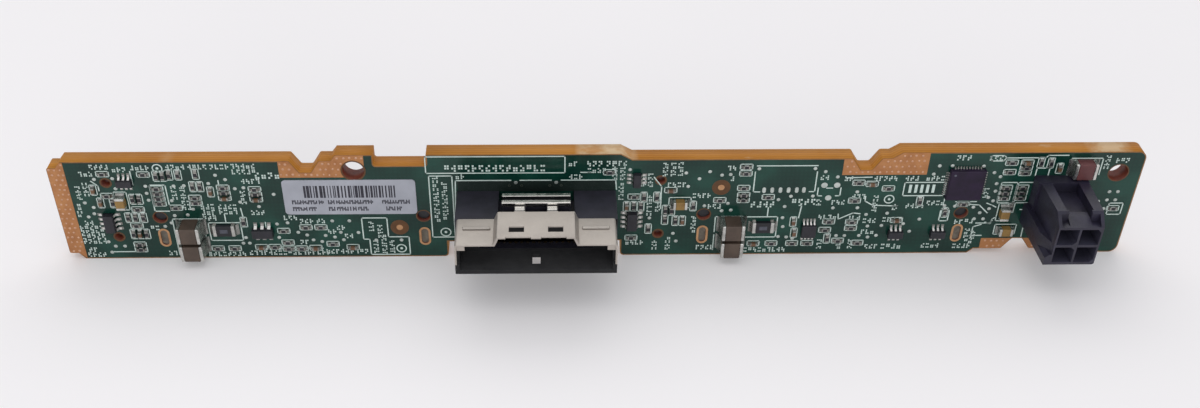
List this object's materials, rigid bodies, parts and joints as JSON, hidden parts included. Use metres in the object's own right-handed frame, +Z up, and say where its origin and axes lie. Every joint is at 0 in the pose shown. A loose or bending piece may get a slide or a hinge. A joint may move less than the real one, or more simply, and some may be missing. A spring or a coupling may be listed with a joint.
{
  "type": "drive backplane board",
  "caption": "Long narrow circuit board with a hooded data socket and a square power header on its front and slotted drive sockets on its rear.",
  "frame": {"origin": "centre of the left screw hole on the board's front face", "axes": "+X along the board to the right as seen from the front, +Z up across the board, the front faces -Y"},
  "size_m": [0.1513, 0.0251, 0.0178],
  "materials": {
    "brown_ceramic": "satin",
    "chip_plastic": "matte",
    "connector_plastic": "matte",
    "end_terminal": "satin",
    "gold_contact": "polished",
    "header_plastic": "satin",
    "label_paper": "matte",
    "laminate_board": "satin",
    "receptacle_plastic": "matte",
    "red_ceramic": "satin",
    "resistor_film": "satin",
    "shell_metal": "satin",
    "tan_ceramic": "satin",
    "tinned_metal": "satin"
  },
  "bodies": {
    "root": {"chip_capacitors": "tan_ceramic", "chip_resistors": "resistor_film", "circuit_board": "laminate_board", "controller_chip_body": "chip_plastic", "controller_chip_pads": "tinned_metal", "data_connector_housing": "connector_plastic", "data_connector_latch_channel": "shell_metal", "data_connector_lower_contacts": "gold_contact", "data_connector_shell": "shell_metal", "data_connector_upper_contacts": "gold_contact", "eight_lead_chips_bodies": "chip_plastic", "eight_lead_chips_leads": "tinned_metal", "filter_capacitor_body": "red_ceramic", "filter_capacitor_ends": "end_terminal", "label": "label_paper", "left_lower_bulk_capacitor_body": "brown_ceramic", "left_lower_bulk_capacitor_ends": "end_terminal", "left_receptacle_board_locks": "tinned_metal", "left_receptacle_housing": "receptacle_plastic", "left_receptacle_power_contacts": "gold_contact", "left_receptacle_second_contacts": "gold_contact", "left_receptacle_signal_contacts": "gold_contact", "left_shunt_resistor_body": "resistor_film", "left_shunt_resistor_ends": "end_terminal", "left_upper_bulk_capacitor_body": "brown_ceramic", "left_upper_bulk_capacitor_ends": "end_terminal", "medium_capacitor_bodies": "tan_ceramic", "medium_capacitor_ends": "end_terminal", "narrow_chip_bodies": "chip_plastic", "narrow_chip_leads": "tinned_metal", "power_header_housing": "header_plastic", "power_header_pins": "tinned_metal", "right_lower_bulk_capacitor_body": "brown_ceramic", "right_lower_bulk_capacitor_ends": "end_terminal", "right_receptacle_board_locks": "tinned_metal", "right_receptacle_housing": "receptacle_plastic", "right_receptacle_power_contacts": "gold_contact", "right_receptacle_second_contacts": "gold_contact", "right_receptacle_signal_contacts": "gold_contact", "right_shunt_resistor_body": "resistor_film", "right_shunt_resistor_ends": "end_terminal", "right_upper_bulk_capacitor_body": "brown_ceramic", "right_upper_bulk_capacitor_ends": "end_terminal", "six_lead_chips_bodies": "chip_plastic", "six_lead_chips_leads": "tinned_metal", "small_six_lead_chips_bodies": "chip_plastic", "small_six_lead_chips_leads": "tinned_metal"}
  },
  "joints": []
}
